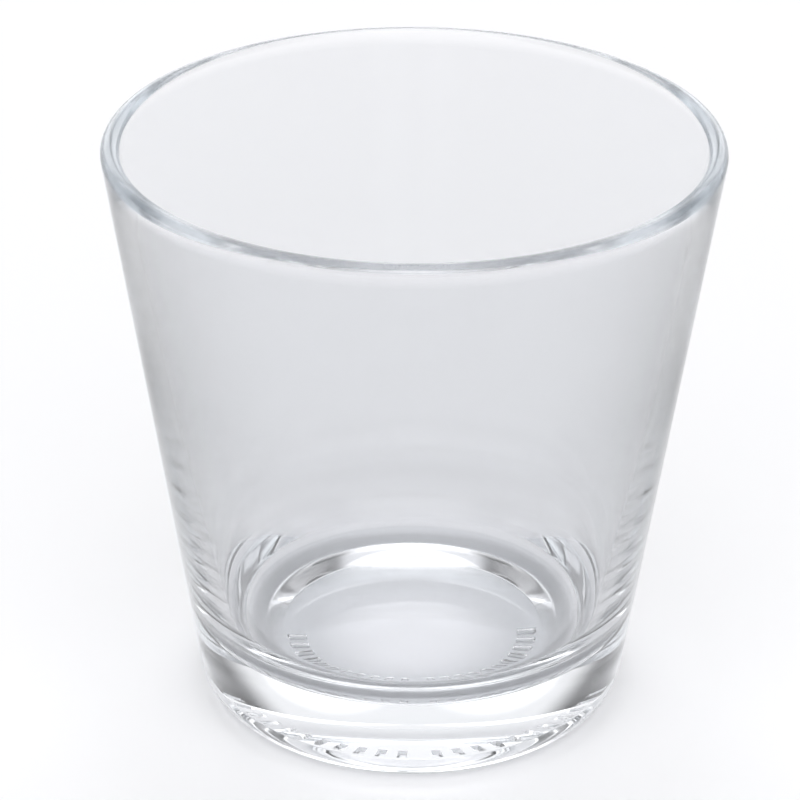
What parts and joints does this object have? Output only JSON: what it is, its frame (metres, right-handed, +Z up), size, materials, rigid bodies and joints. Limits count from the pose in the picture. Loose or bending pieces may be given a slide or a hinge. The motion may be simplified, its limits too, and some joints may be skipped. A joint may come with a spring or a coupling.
{
  "type": "whisky glass",
  "caption": "Conical whisky tumbler in clear pressed glass, with a rounded lip, a thick solid base and a hollowed underside on a flat standing ring.",
  "frame": {"origin": "centre of the flat ring that the glass stands on, at table level", "axes": "+Z up along the glass's axis of revolution, from the base to the mouth; X and Y are arbitrary on a round body"},
  "size_m": [0.0846, 0.0846, 0.0848],
  "materials": {
    "clear_glass": "clear soda-lime glass, pressed and fire-polished, glossy all over"
  },
  "bodies": {
    "root": {"tumbler": "clear_glass"}
  },
  "joints": []
}
